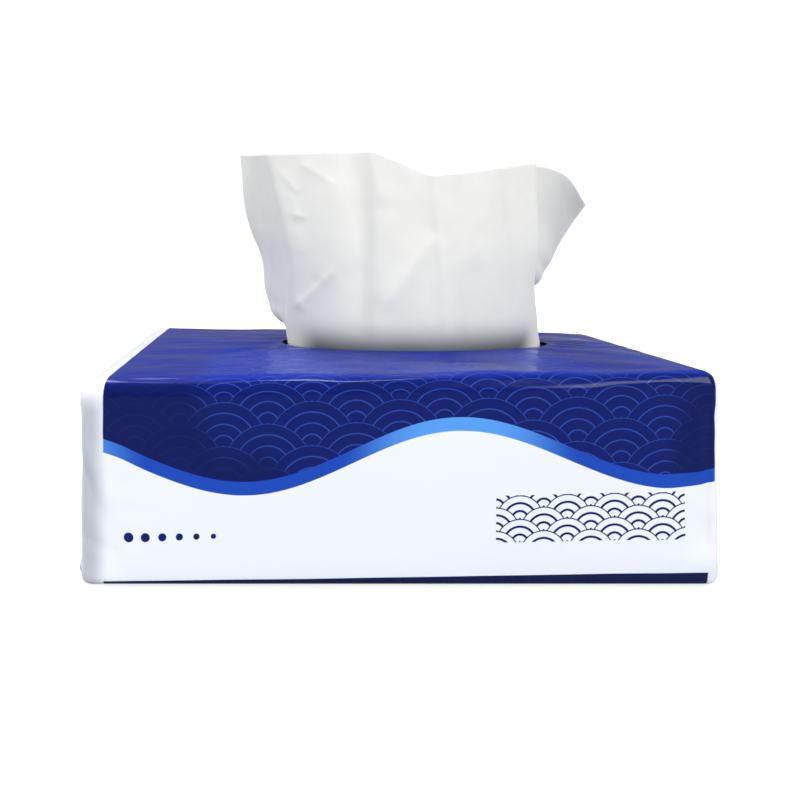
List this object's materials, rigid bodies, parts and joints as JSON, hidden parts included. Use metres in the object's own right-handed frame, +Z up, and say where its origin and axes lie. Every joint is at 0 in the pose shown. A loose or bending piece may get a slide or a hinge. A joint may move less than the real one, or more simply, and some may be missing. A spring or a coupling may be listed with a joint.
{
  "type": "soft pack of facial tissues",
  "caption": "Soft film pack of folded facial tissues with an oval tear-out slot in its top and one tissue drawn up through the slot.",
  "frame": {"origin": "middle of the pack's base, on the surface that it stands on", "axes": "+X along the pack to its right end, +Y from the front panel to the rear panel, +Z up through the slot"},
  "size_m": [0.1908, 0.1036, 0.1347],
  "materials": {
    "printed_film": "gloss",
    "tissue_paper": "matte"
  },
  "bodies": {
    "root": {"film_wrapper": "printed_film", "tissue_stack": "tissue_paper", "next_tissue": "tissue_paper", "drawn_tissue": "tissue_paper"}
  },
  "joints": []
}
